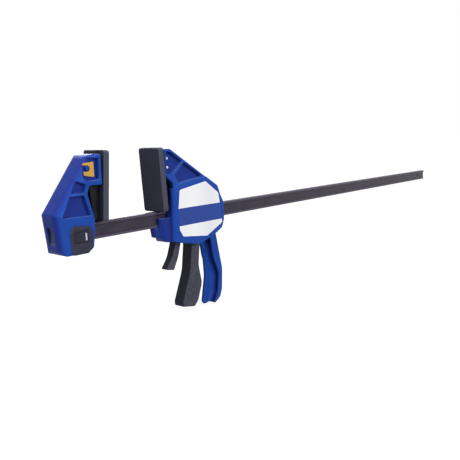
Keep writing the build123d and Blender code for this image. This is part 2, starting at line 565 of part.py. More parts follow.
# ---------------------------------------------------------------- mechanism
def make_trigger():
    """Squeeze lever: a channel that closes over the handle's web, on two arms beside the bar."""
    front = [(165.8, -46.0, 30), (160.4, -90.0, 60), (142.0, -135.5, 6)]
    channel = soften(slab(outline(
        (158.5, -17.0, 0), *front, (142.2, -143.0, 3.5), (169.5, -148.2, 5), (178.0, -140.0, 12),
        (188.3, -112.5, 18), (181.4, -82.0, 40), (185.8, -45.0, 12), (171.0, -21.0, 0),
    ), TRIGGER_HALF), 2.0)
    hollow_front = [(x + 1.3 * TRIGGER_WALL, h, radius) for x, h, radius in front[:2]]
    hollow = outline(
        (163.5, -28.0, 0), *hollow_front, (142.0, -FAR / 2, 0), (FAR, -FAR / 2, 0), (FAR, -28.0, 0)
    )
    channel -= slab(hollow, TRIGGER_HALF - TRIGGER_WALL)
    arm = outline(
        (155.4, 32.0, 7), (171.2, 32.0, 7), (171.2, 21.0, 2), (DRIVE_NOSE_X + 4.0, 12.0, 2),
        (DRIVE_NOSE_X + 4.0, -6.0, 2), (166.4, -20.0, 2), (171.0, -24.0, 0), (160.2, -24.0, 0),
        (157.4, -10.0, 8),
    )
    nose = Pos(DRIVE_NOSE_X, 0) * Circle(DRIVE_NOSE_RADIUS)
    arms = ARM_INNER + 0.3
    lever = channel
    for low, high in ((-TRIGGER_HALF, -arms), (arms, TRIGGER_HALF)):
        lever += layer(arm, low, high) + layer(nose, low, high)
    return lever - disc(TRIGGER_PIVOT_X, TRIGGER_PIVOT_H, TRIGGER_PIN_RADIUS + PIN_PLAY, -FAR, FAR)


def brake_tilt(solid):
    """Lean a piece about the brake plate's upper edge, into its gripping position."""
    return solid.rotate(Axis((BRAKE_PIVOT_X, 0, BAR_Z + BRAKE_PIVOT_H), (0, 1, 0)), BRAKE_LEAN)


def brake_strip(low, high, half):
    """A length of the brake plate, upright, between two heights."""
    return slab(Pos(BRAKE_PIVOT_X, (low + high) / 2) * Rectangle(BRAKE_THICKNESS, high - low), half)


def make_brake_plate():
    plate = brake_strip(-22.0, BRAKE_PIVOT_H, BRAKE_HALF)
    plate += brake_strip(-38.0, -21.0, RELEASE_HALF - 2.5)
    plate += disc(BRAKE_PIVOT_X, BRAKE_PIVOT_H, BRAKE_THICKNESS / 2, -BRAKE_HALF, BRAKE_HALF)
    middle = BRAKE_PIVOT_H - BRAKE_PIVOT_H / BRAKE_COS
    window = Box(3 * BRAKE_THICKNESS, 2 * PASSAGE_HALF, BRAKE_WINDOW)
    return brake_tilt(plate - Pos(BRAKE_PIVOT_X, 0, BAR_Z + middle) * window)


def make_release_lever(brake_plate):
    lever = soften(slab(outline(
        (134.4, -22.0, 0), (133.0, -41.0, 40), (125.0, -62.5, 40), (112.4, -78.4, 2), (129.0, -81.6, 2),
        (139.2, -62.5, 40), (145.8, -41.0, 40), (147.0, -22.0, 0),
    ), RELEASE_HALF), 1.5)
    return lever - brake_plate


def make_drive_plates():
    across = Plane(origin=(DRIVE_START_X, 0, BAR_Z), x_dir=(0, 1, 0), z_dir=(1, 0, 0))
    face = RectangleRounded(2 * DRIVE_HALF, DRIVE_HEIGHT, 2.0) - Rectangle(2 * PASSAGE_HALF, 2 * PASSAGE_TOP)
    plate = extrude(across * face, amount=DRIVE_THICKNESS)
    return [Pos(i * DRIVE_THICKNESS, 0, 0) * plate for i in range(DRIVE_PLATES)]


def make_drive_spring():
    spring = coil(SPRING_RADIUS, SPRING_WIRE, SPRING_LENGTH, SPRING_TURNS)
    return Pos(SPRING_END_X - SPRING_LENGTH, 0, BAR_Z) * Rot(0, 90, 0) * spring


def make_brake_spring():
    rear_face = BRAKE_PIVOT_X - (BRAKE_PIVOT_H - BRAKE_SPRING_H) * BRAKE_SIN + BRAKE_THICKNESS / 2
    start = rear_face + 0.9
    spring = coil(2.6, 0.8, BRAKE_SPRING_X - start, 5)
    return Pos(start, 0, BAR_Z + BRAKE_SPRING_H) * Rot(0, 90, 0) * spring


def make_latch_spring():
    spring = coil(2.8, 0.8, BUTTON_TRAVEL + 2.7, 3)
    return Pos(LATCH_X, LATCH_FAR + 0.3, BAR_Z + BUTTON_H) * Rot(-90, 0, 0) * spring


# ---------------------------------------------------------------- the whole clamp
def fixed_pieces():
    return {
        "bar": make_bar(),
        "fixed_jaw_body": make_fixed_jaw(),
        "quick_change_housing": make_housing(),
        "quick_change_button": make_button(),
        "latch_stirrup": make_latch(),
        "latch_spring": make_latch_spring(),
        "fixed_pad_pin": disc(PIVOT_X, PIVOT_H, PIVOT_RADIUS, -CHEEK_FLOOR + 1.5, CHEEK_FLOOR),
        "fixed_pad_clip": make_clip(5.8, 8.4, 11.4),
        "fixed_stop_pins": make_stop_pins(-PIN_SOCKET),
        "fixed_pad_carrier": make_pad_carrier(),
        "fixed_pad_face": make_pad_face(),
    }


def moving_pieces():
    body = moving_body()
    brake_plate = make_brake_plate()
    pin_end = BAY_HALF + 5.0
    pieces = {
        "jaw_shell_near": half_of(body, -1),
        "jaw_shell_far": half_of(body, 1),
        "jaw_screws": make_screws(),
        "label_plate": layer(label_face(), -BODY_HALF, -BODY_HALF + LABEL_THICKNESS),
        "moving_pad_pin": disc(MOVING_PIVOT_X, PIVOT_H, PIVOT_RADIUS, -CHEEK_FLOOR + 1.5, CHEEK_FLOOR - 1.5),
        "moving_pad_clip": mirror(mirrored(make_clip(0.8, 8.6, 8.0)), about=Plane.XZ),
        "moving_stop_pins": mirrored(make_stop_pins(-CHEEK_FLOOR - 0.8)),
        "moving_pad_carrier": mirrored(make_pad_carrier()),
        "moving_pad_face": mirrored(make_pad_face()),
        "trigger_pin": disc(TRIGGER_PIVOT_X, TRIGGER_PIVOT_H, TRIGGER_PIN_RADIUS, -pin_end, pin_end),
        "trigger_lever": make_trigger(),
        "brake_plate": brake_plate,
        "release_lever": make_release_lever(brake_plate),
        "drive_spring": make_drive_spring(),
        "brake_spring": make_brake_spring(),
    }
    for number, plate in enumerate(make_drive_plates(), start=1):
        pieces[f"drive_plate_{number}"] = plate
    return pieces


def make_clamp():
    slide = Pos(PAD_OPENING - JAW_FACE, 0, 0)
    moved = {name: slide * piece for name, piece in moving_pieces().items()}
    return {**fixed_pieces(), **moved}


os.makedirs("parts", exist_ok=True)
for name, part in make_clamp().items():
    export_step(part, f"parts/{name}.step")
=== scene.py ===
# %% [markdown]
# # A quick release bar clamp
#
# This clamp squeezes work between two padded jaws on a long flat steel bar. The left jaw is locked to the bar
# by a push button. The right one slides and carries a pistol grip with a trigger and a short release lever.
# The solids come from a CAD model as a fixed frame. Here each of them gets a finish, and the screws, which
# the CAD model keeps plain, are modelled with their threads and driver recesses. Everything is in metres.

from math import radians

import bmesh
import bpy
from mathutils import Matrix, Vector


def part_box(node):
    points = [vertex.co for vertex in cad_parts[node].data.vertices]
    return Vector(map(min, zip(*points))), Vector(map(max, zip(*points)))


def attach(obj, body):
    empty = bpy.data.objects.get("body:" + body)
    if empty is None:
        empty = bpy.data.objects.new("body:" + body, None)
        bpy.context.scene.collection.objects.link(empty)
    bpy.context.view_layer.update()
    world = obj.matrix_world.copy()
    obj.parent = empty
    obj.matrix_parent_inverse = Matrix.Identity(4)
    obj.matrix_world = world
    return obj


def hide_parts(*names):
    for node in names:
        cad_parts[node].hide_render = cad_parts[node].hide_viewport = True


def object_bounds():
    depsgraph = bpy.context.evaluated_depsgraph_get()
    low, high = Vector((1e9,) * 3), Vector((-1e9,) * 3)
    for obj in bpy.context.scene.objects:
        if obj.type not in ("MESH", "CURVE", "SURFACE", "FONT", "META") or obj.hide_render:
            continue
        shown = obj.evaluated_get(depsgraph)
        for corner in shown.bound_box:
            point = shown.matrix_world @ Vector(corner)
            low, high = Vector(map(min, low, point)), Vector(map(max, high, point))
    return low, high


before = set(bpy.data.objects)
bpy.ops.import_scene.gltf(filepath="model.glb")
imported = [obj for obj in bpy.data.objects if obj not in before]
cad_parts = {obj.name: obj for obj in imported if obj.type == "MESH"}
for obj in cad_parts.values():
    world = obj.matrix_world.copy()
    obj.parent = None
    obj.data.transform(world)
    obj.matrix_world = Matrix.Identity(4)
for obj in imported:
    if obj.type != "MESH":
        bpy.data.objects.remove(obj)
cad_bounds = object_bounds()
MM = 0.001
BAR_LOW, BAR_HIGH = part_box("bar")
BAR_Z = (BAR_LOW.z + BAR_HIGH.z) / 2

# %% [markdown]
# ## Where the eye is
#
# A long thin object fits a square picture best when the eye looks along it. The camera therefore stands in
# front of the left jaw and looks towards the bar's far end, slightly downwards. A camera looks along its own
# -Z axis, so it is first tipped up to the horizon and then turned about the vertical, and a small roll about
# its own axis comes before both. The three angles are in degrees, and the two lens values in millimetres.

# %% Camera
EYE = (-0.4998, -0.63596, 0.06219)
SENSOR_WIDTH, FOCAL_LENGTH = 36.0, 46.19
FROM_THE_BAR, DOWNWARDS, LEAN = 39.44, 9.11, -1.35
bpy.ops.object.select_all(action="DESELECT")
bpy.ops.object.camera_add(location=EYE)
camera = bpy.context.object
camera.data.sensor_width = SENSOR_WIDTH
camera.data.lens = FOCAL_LENGTH
heading, tilt, roll = radians(FROM_THE_BAR - 90), radians(90 - DOWNWARDS), radians(LEAN)
turned = Matrix.Rotation(heading, 3, "Z") @ Matrix.Rotation(tilt, 3, "X") @ Matrix.Rotation(roll, 3, "Z")
camera.rotation_euler = turned.to_euler()
bpy.context.scene.camera = camera
print("camera at", [round(v, 3) for v in camera.location])

# %% [markdown]
# ## A small language for finishes
#
# A finish is a graph of nodes. Written out node by node it is long and hard to read. So a Signal wraps one
# output of the graph, and plain arithmetic on it adds the Math nodes. A Finish is one material, and its
# method node adds every other kind of node from the node's type, its settings and its inputs.


# %% Signals
class Signal:
    """One output in a finish's graph. Arithmetic on it adds Math nodes."""

    def __init__(self, finish, socket):
        self.finish, self.socket = finish, socket

    def math(self, operation, first, second=0.0):
        return self.finish.node("ShaderNodeMath", {"operation": operation}, {0: first, 1: second})

    def __add__(self, other):
        return self.math("ADD", self, other)

    def __sub__(self, other):
        return self.math("SUBTRACT", self, other)

    def __rsub__(self, other):
        """A plain number minus this signal."""
        return self.math("SUBTRACT", other, self)

    def __mul__(self, other):
        return self.math("MULTIPLY", self, other)

    def __truediv__(self, other):
        return self.math("DIVIDE", self, other)

    def __lt__(self, other):
        return self.math("LESS_THAN", self, other)

    def __gt__(self, other):
        return self.math("GREATER_THAN", self, other)

    def __abs__(self):
        return self.math("ABSOLUTE", self)


print("signals add, subtract, multiply, divide and compare")


# %% Finishes
class Finish:
    """A material with one Principled shader, read at places on the piece."""

    def __init__(self, name, color, roughness, metallic=0.0, specular=0.5):
        self.material = bpy.data.materials.new(name)
        self.material.use_nodes = True
        self.tree = self.material.node_tree
        self.shader = self.tree.nodes["Principled BSDF"]
        self.set("Base Color", (*color, 1.0))
        self.set("Roughness", roughness)
        self.set("Metallic", metallic)
        self.set("Specular IOR Level", specular)
        self.place = self.node("ShaderNodeTexCoord", output="Object")

    def set(self, name, value):
        """Gives one of the shader's inputs a signal or a plain value."""
        socket = self.shader.inputs[name]
        if isinstance(value, Signal):
            self.tree.links.new(value.socket, socket)
        else:
            socket.default_value = value

    def node(self, kind, settings=(), inputs=(), output=0):
        """Adds a node. The settings come first, and its inputs are then named or counted."""
        made = self.tree.nodes.new(kind)
        for name, value in dict(settings).items():
            if name == "stops":
                while len(made.color_ramp.elements) < len(value):
                    made.color_ramp.elements.new(0.5)
                for stop, (position, shade) in zip(made.color_ramp.elements, value):
                    stop.position, stop.color = position, (shade, shade, shade, 1.0)
            else:
                setattr(made, name, value)
        for name, value in dict(inputs).items():
            shown = [socket for socket in made.inputs if socket.enabled]
            socket = made.inputs[name] if isinstance(name, int) else next(s for s in shown if s.name == name)
            if isinstance(value, Signal):
                self.tree.links.new(value.socket, socket)
            else:
                socket.default_value = value
        if isinstance(output, int):
            return Signal(self, [socket for socket in made.outputs if socket.enabled][output])
        return Signal(self, made.outputs[output])


print("a finish has one way to add a node")

# %% [markdown]
# ## Words for the patterns
#
# Seven words are enough for all the finishes of this clamp: the place along one axis, noise of a given size,
# streaks, a ramp that turns a value into a shade, a blend of two colours, a bump that tilts the surface, and
# how far the surface faces along an axis. Streaks, as on rolled steel, are noise read at a place that was
# divided by a different length along each axis. No moulded or rolled edge is truly sharp, and a sharp one
# looks like paper. So the bump starts from a normal that bends over edges within a small radius, which costs
# no faces.


# %% Pattern words
BEVEL_SAMPLES = 6


def axis(finish, name):
    """The x, y or z of the place on the piece, in metres."""
    return finish.node("ShaderNodeSeparateXYZ", inputs={0: finish.place}, output="xyz".index(name))


def noise(finish, size, detail=2.0):
    """Soft random patches of about that size in metres."""
    return finish.node("ShaderNodeTexNoise", inputs={
        "Vector": finish.place, "Scale": 1.0 / size, "Detail": detail,
    })


def streaks(finish, lengths, detail=3.0):
    """Noise with its own length along x, y and z."""
    place = finish.node("ShaderNodeVectorMath", {"operation": "DIVIDE"}, {0: finish.place, 1: lengths})
    return finish.node("ShaderNodeTexNoise", inputs={"Vector": place, "Scale": 1.0, "Detail": detail})


def ramp(finish, value, *stops):
    """Turns a value into a grey. Each stop is a position and the shade that it gives."""
    return finish.node("ShaderNodeValToRGB", {"stops": stops}, {"Fac": value})


def blend(finish, factor, first, second):
    """The first colour where the factor is 0, the second where it is 1."""
    colors = {name: color if isinstance(color, Signal) else (*color, 1.0)
              for name, color in (("A", first), ("B", second))}
    return finish.node("ShaderNodeMix", {"data_type": "RGBA"}, {"Factor": factor, **colors})


def bump(finish, height, distance, rounding):
    """Tilts the surface by the height's slope, over edges that look rounded by that radius."""
    rounded = finish.node("ShaderNodeBevel", {"samples": BEVEL_SAMPLES}, {"Radius": rounding})
    finish.set("Normal", finish.node("ShaderNodeBump", inputs={
        "Height": height, "Distance": distance, "Normal": rounded,
    }))


def facing(finish, name):
    """How far the surface faces along x, y or z, from -1 to 1."""
    normal = finish.node("ShaderNodeNewGeometry", output="Normal")
    return finish.node("ShaderNodeSeparateXYZ", inputs={0: normal}, output="xyz".index(name))


print("pattern words ready")

# %% [markdown]
# ## Blue moulded plastic
#
# Both jaws are moulded in glass filled nylon, a strong plastic with a satin skin. One flat blue would look
# like paint. Real nylon wanders a little where the melt flowed, has a fine grain from the etched mould, is
# rubbed smoother where hands hold it, and shows a thin parting line down the middle where the two halves of
# the mould met. The pockets are painted darker and a touch more violet, as painted shade and bounced light.
# Faces that look up are painted paler, as a painted sheen. The corner where the grip's thin web meets its
# wide back is painted darkest of all, as painted shade. All of these are masks, made from the place on the
# piece or from the way it faces.

# %% Blue plastic
# The pocket, top and corner colours are painted shade and painted sheen.
BLUE, PALE_BLUE, POCKET_SHADE_BLUE = (0.010, 0.050, 0.285), (0.017, 0.066, 0.325), (0.014, 0.023, 0.185)
TOP_SHEEN_BLUE, CORNER_SHADE_BLUE = (0.085, 0.13, 0.37), (0.006, 0.012, 0.085)
GRIP_FRONT, GRIP_TOP, GRIP_HALF = 205 * MM, BAR_Z - 40 * MM, 13 * MM
POCKET_FLOOR, POCKET_RIM = 15.2 * MM, 18.5 * MM
PARTING_LINE, PARTING_DEPTH = 0.22 * MM, 3.0


def blue_nylon():
    finish = Finish("blue_nylon", BLUE, 0.38, specular=0.07)
    flow = noise(finish, size=45 * MM, detail=4.0)
    skin = blend(finish, ramp(finish, flow, (0.35, 0.0), (0.75, 1.0)), BLUE, PALE_BLUE)
    side = abs(axis(finish, "y"))
    depth = (POCKET_RIM - side) / (POCKET_RIM - POCKET_FLOOR)
    above_grip = axis(finish, "z") > GRIP_TOP
    # Painted shade: the pockets are painted darker and more violet.
    skin = blend(finish, ramp(finish, depth, (0.0, 0.0), (1.0, 0.75)) * above_grip, skin, POCKET_SHADE_BLUE)
    # Painted sheen: faces that look up are painted paler.
    top_sheen = ramp(finish, facing(finish, "z"), (0.6, 0.0), (0.95, 1.0))
    skin = blend(finish, top_sheen, skin, TOP_SHEEN_BLUE)
    # Painted shade: the -X facing wall in the grip's crease is painted near black.
    in_grip = (axis(finish, "x") > GRIP_FRONT) * (axis(finish, "z") < GRIP_TOP)
    wall_shade = ramp(finish, facing(finish, "x") * -1.0, (0.1, 0.0), (0.5, 1.0)) * in_grip
    corner = ramp(finish, side / GRIP_HALF, (0.25, 0.0), (0.75, 1.0))
    finish.set("Base Color", blend(finish, wall_shade * corner, skin, CORNER_SHADE_BLUE))
    rubbed = noise(finish, size=18 * MM, detail=3.0)
    finish.set("Roughness", ramp(finish, rubbed, (0.3, 0.33), (0.7, 0.47)))
    grain = noise(finish, size=0.6 * MM) + noise(finish, size=4 * MM) * 0.6
    parted = (side < PARTING_LINE) * PARTING_DEPTH
    bump(finish, grain - parted, distance=0.04 * MM, rounding=2.2 * MM)
    return finish.material


BLUE_NYLON = blue_nylon()
print("made", BLUE_NYLON.name)

# %% [markdown]
# ## Black and grey plastic
#
# The carriers behind the pads, the housing of the quick change latch and its button are the same plastic in
# black and two greys. They differ only in their numbers, so one function makes all three. The ridge that a
# thumb finds on the button is painted pale, as a painted highlight, so the button takes a second colour from
# a mask over that place.


# %% Plain mouldings
# A painted highlight: the pale colour along the button's ridge.
RIDGE_HIGHLIGHT_PALE = (0.56, 0.56, 0.69)
RIDGE_START, RIDGE_END, RIDGE_DEPTH = 0.5 * MM, 2.7 * MM, 0.5 * MM


def plain_nylon(name, color, paler, roughness, pale_mask=None):
    finish = Finish(name, color, roughness, specular=0.1)
    cloud = ramp(finish, noise(finish, size=12 * MM, detail=4.0), (0.3, 0.0), (0.75, 1.0))
    skin = blend(finish, cloud, color, paler)
    # Painted highlight over the place that the mask picks out.
    if pale_mask:
        skin = blend(finish, pale_mask(finish), skin, RIDGE_HIGHLIGHT_PALE)
    finish.set("Base Color", skin)
    rubbed = noise(finish, size=7 * MM, detail=3.0)
    finish.set("Roughness", ramp(finish, rubbed, (0.3, roughness - 0.06), (0.7, roughness + 0.08)))
    grain = noise(finish, size=0.5 * MM) + noise(finish, size=3 * MM) * 0.5
    bump(finish, grain, distance=0.035 * MM, rounding=1.0 * MM)
    return finish.material


def thumb_ridge(finish):
    """The raised bar down the button's right edge, on its outer face alone."""
    low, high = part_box("quick_change_button")
    from_edge = high.x - axis(finish, "x")
    outside = axis(finish, "y") < low.y + RIDGE_DEPTH
    return (from_edge < RIDGE_END) * (from_edge > RIDGE_START) * outside


CARRIER_BLACK = plain_nylon("black_nylon", (0.010, 0.010, 0.014), (0.016, 0.016, 0.021), 0.5)
INSERT_GREY = plain_nylon("dark_grey_nylon", (0.026, 0.026, 0.043), (0.036, 0.036, 0.056), 0.46)
BUTTON_GREY = plain_nylon("button_nylon", (0.018, 0.019, 0.032), (0.025, 0.026, 0.042), 0.42, thumb_ridge)
print("made", CARRIER_BLACK.name, INSERT_GREY.name, BUTTON_GREY.name)

# %% [markdown]
# ## Pebbled levers
#
# The trigger and the release lever are black nylon with a leather-like grain, so that damp fingers don't
# slip. The grain is made of small cells with grooves between them, which a Voronoi pattern gives as the
# distance to the nearest cell's edge. It is strong on the lower half, where the fingers are, and fades out
# higher up. The pebbles' tops are rubbed grey in patches. The narrow front is painted darker, as painted
# shade, so that it reads as a face of its own beside the paler side.


# %% Lever plastic
PEBBLE = 2.6 * MM
HOLD_TOP, HOLD_FADE = BAR_Z - 70 * MM, 40 * MM


def lever_nylon():
    finish = Finish("pebbled_black_nylon", (0.03, 0.03, 0.04), 0.5, specular=0.12)
    cells = finish.node("ShaderNodeTexVoronoi", {"feature": "DISTANCE_TO_EDGE"}, {
        "Vector": finish.place, "Scale": 1 / PEBBLE,
    })
    held = ramp(finish, (HOLD_TOP - axis(finish, "z")) / HOLD_FADE, (0.0, 0.15), (1.0, 1.0))
    pebbles = ramp(finish, cells, (0.02, 0.0), (0.24, 1.0)) * held
    mottle = noise(finish, size=4 * MM, detail=5.0)
    worn = ramp(finish, mottle, (0.32, 0.0), (0.68, 1.0))
    shade = worn * 0.4 + pebbles * 0.45 + (1.0 - held) * 0.3
    skin = blend(finish, shade, (0.020, 0.020, 0.030), (0.088, 0.088, 0.120))
    # Painted shade: the narrow front, facing -X, is painted near black.
    front_shade = ramp(finish, facing(finish, "x") * -1.0, (0.35, 0.0), (0.8, 1.0))
    finish.set("Base Color", blend(finish, front_shade, skin, (0.009, 0.009, 0.018)))
    finish.set("Roughness", ramp(finish, mottle, (0.3, 0.42), (0.7, 0.6)))
    grain = pebbles + worn * 0.5 + noise(finish, size=0.5 * MM) * 0.35
    bump(finish, grain, distance=0.2 * MM, rounding=2.6 * MM)
    return finish.material


LEVER_BLACK = lever_nylon()
print("made", LEVER_BLACK.name)

# %% [markdown]
# ## Rubber
#
# The pads are soft rubber that grips the work without marking it. Rubber is dull, and a bloom that comes to
# its surface makes it greyer in patches. The faces that grip are painted darker than the sides, as painted
# shade. The mould leaves a fine stipple, which is a small Voronoi pattern.


# %% Rubber
STIPPLE = 1.1 * MM


def pad_rubber():
    finish = Finish("pad_rubber", (0.04, 0.04, 0.052), 0.66, specular=0.12)
    bloom = noise(finish, size=30 * MM, detail=5.0)
    skin = blend(finish, ramp(finish, bloom, (0.3, 0.0), (0.75, 1.0)),
                 (0.046, 0.050, 0.072), (0.060, 0.064, 0.092))
    # Painted shade: the faces that grip, facing along x, are painted darker than the sides.
    gripping_shade = ramp(finish, abs(facing(finish, "x")), (0.6, 0.0), (0.9, 1.0))
    finish.set("Base Color", blend(finish, gripping_shade, skin, (0.024, 0.024, 0.040)))
    finish.set("Roughness", ramp(finish, bloom, (0.3, 0.58), (0.7, 0.76)))
    stipple = finish.node("ShaderNodeTexVoronoi", inputs={"Vector": finish.place, "Scale": 1 / STIPPLE})
    bump(finish, stipple * 0.5 + noise(finish, size=STIPPLE), distance=0.07 * MM, rounding=1.8 * MM)
    return finish.material


PAD_RUBBER = pad_rubber()
print("made", PAD_RUBBER.name)

# %% [markdown]
# ## The bar
#
# The bar is rolled steel with a dark oxide skin. Rolling leaves fine streaks along it, so its noise is long
# in X and very short in Y and Z. The flanges above and below the groove are rubbed brighter by the sliding
# jaw, so the shade also depends on the height above the bar's centre line.


# %% Dark steel
RUB_START, RUB_WIDTH = 7.4 * MM, 4 * MM


def oxide_steel():
    finish = Finish("oxide_steel", (0.04, 0.035, 0.05), 0.42, metallic=0.45, specular=0.2)
    rolled = streaks(finish, (50 * MM, 0.7 * MM, 0.7 * MM), detail=4.0)
    height = abs(axis(finish, "z") - BAR_Z)
    rubbed = ramp(finish, (height - RUB_START) / RUB_WIDTH, (0.0, 0.0), (0.6, 1.0))
    shade = rolled * 0.45 + noise(finish, size=25 * MM, detail=5.0) * 0.25 + rubbed * 0.4
    finish.set("Base Color", blend(finish, ramp(finish, shade, (0.25, 0.0), (1.0, 1.0)),
                                   (0.026, 0.021, 0.034), (0.095, 0.083, 0.125)))
    finish.set("Roughness", ramp(finish, rolled, (0.3, 0.36), (0.7, 0.52)))
    bump(finish, rolled + noise(finish, size=0.9 * MM) * 0.4, distance=0.06 * MM, rounding=0.8 * MM)
    return finish.material


OXIDE_STEEL = oxide_steel()
print("made", OXIDE_STEEL.name)

# %% [markdown]
# ## Bright steel, spring wire and the enamelled clip
#
# Pins, plates and screws are turned or ground steel, with fine marks round them. The same function gives the
# springs a darker drawn wire, and the retaining clip its yellow enamel when it is told to be hardly metallic.


# %% Turned steel
def turned_steel(name, color, roughness, metallic=1.0):
    finish = Finish(name, color, roughness, metallic=metallic, specular=0.2)
    marks = streaks(finish, (0.4 * MM, 4 * MM, 0.4 * MM))
    paler = tuple(min(1.0, 1.15 * value) for value in color)
    cloud = ramp(finish, noise(finish, size=3 * MM), (0.3, 0.0), (0.7, 1.0))
    finish.set("Base Color", blend(finish, cloud, color, paler))
    finish.set("Roughness", ramp(finish, marks, (0.25, roughness - 0.07), (0.75, roughness + 0.12)))
    bump(finish, marks, distance=0.02 * MM, rounding=0.3 * MM)
    return finish.material


BRIGHT_STEEL = turned_steel("bright_steel", (0.58, 0.58, 0.60), 0.3)
SPRING_STEEL = turned_steel("spring_steel", (0.28, 0.28, 0.30), 0.35)
CLIP_YELLOW = turned_steel("yellow_enamel", (0.48, 0.27, 0.05), 0.4, metallic=0.0)
print("made", BRIGHT_STEEL.name, SPRING_STEEL.name, CLIP_YELLOW.name)

# %% [markdown]
# ## The label
#
# The side of the sliding jaw carries a bare printed panel: silvery white, with a blue band across it at the
# height of the bar. It could be three thin plates, but ink has no thickness, so the colours are masks on one
# plate. The white is painted a little greyer in a soft sweep towards the back, as painted shade on the foil.

# %% Label
FOIL_WHITE, FOIL_SHADE_GREY, BAND_BLUE = (0.78, 0.78, 0.81), (0.62, 0.62, 0.67), (0.020, 0.052, 0.255)
BAND_LOW, BAND_HIGH = BAR_Z - 12.3 * MM, BAR_Z + 14.4 * MM
LABEL_LOW, LABEL_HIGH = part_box("label_plate")


def label_foil():
    finish = Finish("label_foil", (0.78, 0.78, 0.80), 0.32, specular=0.15)
    height, along = axis(finish, "z"), axis(finish, "x")
    band = (height > BAND_LOW) * (height < BAND_HIGH)
    swept = (along - LABEL_LOW.x) / (LABEL_HIGH.x - LABEL_LOW.x)
    # Painted shade: the white turns greyer in a sweep along the label.
    sweep_shade = ramp(finish, swept, (0.0, 0.2), (0.35, 0.0), (0.72, 0.5), (1.0, 0.1))
    white = blend(finish, sweep_shade, FOIL_WHITE, FOIL_SHADE_GREY)
    finish.set("Base Color", blend(finish, band, white, BAND_BLUE))
    rubbed = noise(finish, size=10 * MM, detail=3.0)
    finish.set("Roughness", ramp(finish, rubbed, (0.3, 0.28), (0.7, 0.38)))
    bump(finish, noise(finish, size=1.6 * MM), distance=0.01 * MM, rounding=0.3 * MM)
    return finish.material


LABEL_FOIL = label_foil()
print("made", LABEL_FOIL.name)

# %% [markdown]
# ## Dress the CAD nodes
#
# A CAD node keeps its shape and only changes its material. The dictionary reads as a list of which parts wear
# which finish, so that a part without a finish would show up as a difference in the count that is printed.

# %% Finishes on the nodes
WEARS = {
    BLUE_NYLON: ("fixed_jaw_body", "jaw_shell_near", "jaw_shell_far"),
    LEVER_BLACK: ("trigger_lever", "release_lever"),
    CARRIER_BLACK: ("fixed_pad_carrier", "moving_pad_carrier"),
    INSERT_GREY: ("quick_change_housing",),
    BUTTON_GREY: ("quick_change_button",),
    PAD_RUBBER: ("fixed_pad_face", "moving_pad_face"),
    OXIDE_STEEL: ("bar",),
    BRIGHT_STEEL: (
        "latch_stirrup", "fixed_pad_pin", "fixed_stop_pins", "moving_pad_pin", "moving_stop_pins",
        "trigger_pin", "brake_plate", "drive_plate_1", "drive_plate_2", "jaw_screws",
    ),
    SPRING_STEEL: ("latch_spring", "drive_spring", "brake_spring"),
    CLIP_YELLOW: ("fixed_pad_clip", "moving_pad_clip"),
    LABEL_FOIL: ("label_plate",),
}
for material, nodes in WEARS.items():
    for node in nodes:
        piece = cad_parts[node]
        piece.data.materials.clear()
        piece.data.materials.append(material)
print("dressed", sum(len(nodes) for nodes in WEARS.values()), "of", len(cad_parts), "nodes")

# %% [markdown]
# ## Tools for modelling by hand
#
# The screws are the only new pieces. They are modelled as by hand in edit mode. An operator acts on all that
# is selected, so these helpers first make one object active, or select just the faces that a test picks out
# by their centre and normal.


# %% Modelling helpers
def activate(piece):
    bpy.ops.object.select_all(action="DESELECT")
    piece.select_set(True)
    bpy.context.view_layer.objects.active = piece


def settle(piece):
    """Moves the piece's place, turn and size into its mesh."""
    activate(piece)
    bpy.ops.object.transform_apply(location=True, rotation=True, scale=True)


def pick_faces(piece, wanted):
    """Selects the faces of the piece in edit mode that pass a test of their centre and normal."""
    bpy.ops.mesh.select_mode(type="FACE")
    bpy.ops.mesh.select_all(action="DESELECT")
    mesh = bmesh.from_edit_mesh(piece.data)
    for face in mesh.faces:
        face.select_set(wanted(face.calc_center_median(), face.normal))
    bmesh.update_edit_mesh(piece.data)


def push_out(drop, spread):
    """Extrudes the picked face down the screw's axis and then spreads or narrows it."""
    bpy.ops.mesh.extrude_region_move(TRANSFORM_OT_translate={"value": (0, 0, -drop)})
    bpy.ops.transform.resize(value=(spread, spread, 1), center_override=(0, 0, 0))


print("helpers ready")

# %% [markdown]
# ## A screw
#
# Six pan head screws hold the two halves of the sliding jaw, and one recipe makes both of their lengths. It
# starts as a short cylinder, the head. The rim of its top is rounded with a bevel. Its underside is inset to
# the width of the shank and extruded: first the plain shank, then the thread in small steps, each a little
# wider or narrower than the last, and the last steps draw it to a point.

# %% Model the screw
HEAD_RADIUS, HEAD_HEIGHT = 3.6 * MM, 2.4 * MM
CREST, ROOT, PITCH, TURNS = 1.72 * MM, 1.35 * MM, 1.3 * MM, 10
POINT, RIM = 0.8 * MM, 0.8 * MM
HEAD_SIDES, RIM_STEPS = 36, 4


